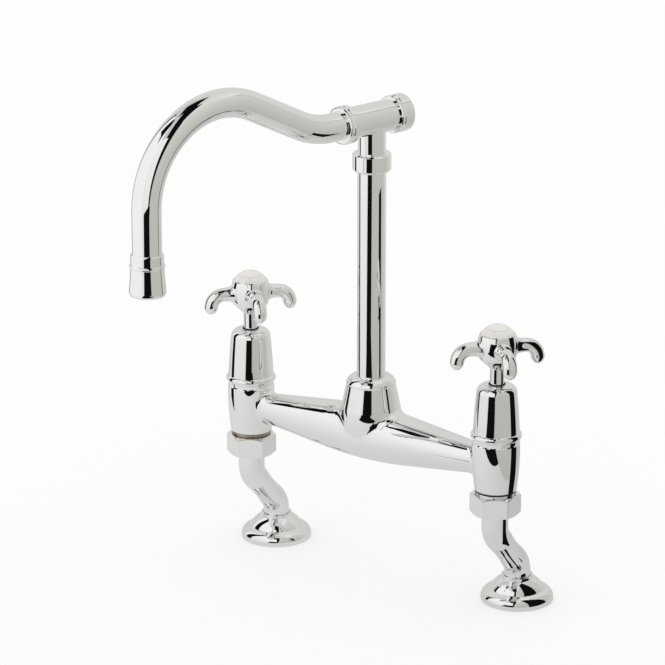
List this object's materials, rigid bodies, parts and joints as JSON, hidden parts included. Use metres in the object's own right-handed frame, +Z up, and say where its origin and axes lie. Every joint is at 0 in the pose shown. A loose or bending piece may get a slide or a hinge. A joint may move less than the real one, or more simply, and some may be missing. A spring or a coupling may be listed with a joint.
{
  "type": "kitchen mixer tap",
  "caption": "Deck-standing bridge mixer tap with a swan-neck swivel spout, two cross handles with porcelain buttons, cranked union legs and bell flanges.",
  "frame": {"origin": "on the deck, midway between the two pipe sockets of the legs", "axes": "+Z up, +X along the bridge towards the right-hand (cold) valve, -Y towards the front of the sink"},
  "size_m": [0.251, 0.2468, 0.3657],
  "materials": {
    "bridge_body": "polished plating on brass",
    "hub_collar": "polished plating on brass",
    "swivel_spigot": "machined, unplated",
    "swivel_rings": "matt black",
    "glide_washer": "moulded",
    "riser_tube": "polished plating on brass",
    "riser_collar": "polished plating on brass",
    "tee_body": "polished plating on brass",
    "tee_end_cap": "polished plating on brass",
    "spout_collar": "polished plating on brass",
    "spout_tube": "polished plating on brass",
    "nozzle_shell": "polished plating on brass",
    "aerator_insert": "moulded",
    "aerator_mesh": "moulded",
    "left_valve_cover": "polished plating on brass",
    "left_cartridge": "machined, unplated",
    "left_fixed_disc": "lapped",
    "left_moving_disc": "lapped",
    "left_seat_seal": "matt black",
    "left_spindle": "polished plating on brass",
    "left_spindle_rings": "matt black",
    "left_handle": "polished plating on brass",
    "left_handle_screw": "turned stainless",
    "left_index_button": "white glaze",
    "left_union_nut": "polished plating on brass",
    "left_union_washer": "pressed red fibre",
    "left_leg": "polished plating on brass",
    "left_foot_flange": "polished plating on brass",
    "right_valve_cover": "polished plating on brass",
    "right_cartridge": "machined, unplated",
    "right_fixed_disc": "lapped",
    "right_moving_disc": "lapped",
    "right_seat_seal": "matt black",
    "right_spindle": "polished plating on brass",
    "right_spindle_rings": "matt black",
    "right_handle": "polished plating on brass",
    "right_handle_screw": "turned stainless",
    "right_index_button": "white glaze",
    "right_union_nut": "polished plating on brass",
    "right_union_washer": "pressed red fibre",
    "right_leg": "polished plating on brass",
    "right_foot_flange": "polished plating on brass"
  },
  "bodies": {
    "bridge": {"bridge_body": "bridge_body", "hub_collar": "hub_collar", "left_valve_cover": "left_valve_cover", "left_cartridge": "left_cartridge", "left_fixed_disc": "left_fixed_disc", "left_seat_seal": "left_seat_seal", "left_union_nut": "left_union_nut", "left_union_washer": "left_union_washer", "right_valve_cover": "right_valve_cover", "right_cartridge": "right_cartridge", "right_fixed_disc": "right_fixed_disc", "right_seat_seal": "right_seat_seal", "right_union_nut": "right_union_nut", "right_union_washer": "right_union_washer"},
    "spout": {"swivel_spigot": "swivel_spigot", "swivel_rings": "swivel_rings", "glide_washer": "glide_washer", "riser_tube": "riser_tube", "riser_collar": "riser_collar", "tee_body": "tee_body", "tee_end_cap": "tee_end_cap", "spout_collar": "spout_collar", "spout_tube": "spout_tube", "nozzle_shell": "nozzle_shell", "aerator_insert": "aerator_insert", "aerator_mesh": "aerator_mesh"},
    "left_handle_group": {"left_handle": "left_handle", "left_handle_screw": "left_handle_screw", "left_index_button": "left_index_button", "left_spindle": "left_spindle", "left_spindle_rings": "left_spindle_rings", "left_moving_disc": "left_moving_disc"},
    "left_leg_group": {"left_leg": "left_leg", "left_foot_flange": "left_foot_flange"},
    "right_handle_group": {"right_handle": "right_handle", "right_handle_screw": "right_handle_screw", "right_index_button": "right_index_button", "right_spindle": "right_spindle", "right_spindle_rings": "right_spindle_rings", "right_moving_disc": "right_moving_disc"},
    "right_leg_group": {"right_leg": "right_leg", "right_foot_flange": "right_foot_flange"}
  },
  "joints": [
    {"name": "spout_swivel", "type": "hinge", "parent": "bridge", "child": "spout", "pos_m": [0, -0.0285, 0.12], "axis": [0, 0, 1], "continuous": true},
    {"name": "left_handle_turn", "type": "hinge", "parent": "bridge", "child": "left_handle_group", "pos_m": [-0.1, -0.0285, 0.17], "axis": [0, 0, 1], "range_deg": [0, 90]},
    {"name": "right_handle_turn", "type": "hinge", "parent": "bridge", "child": "right_handle_group", "pos_m": [0.1, -0.0285, 0.17], "axis": [0, 0, 1], "range_deg": [-90, 0]},
    {"name": "left_leg_swing", "type": "hinge", "parent": "bridge", "child": "left_leg_group", "pos_m": [-0.1, -0.0285, 0.07], "axis": [0, 0, 1], "range_deg": [-90, 90]},
    {"name": "right_leg_swing", "type": "hinge", "parent": "bridge", "child": "right_leg_group", "pos_m": [0.1, -0.0285, 0.07], "axis": [0, 0, 1], "range_deg": [-90, 90]}
  ]
}
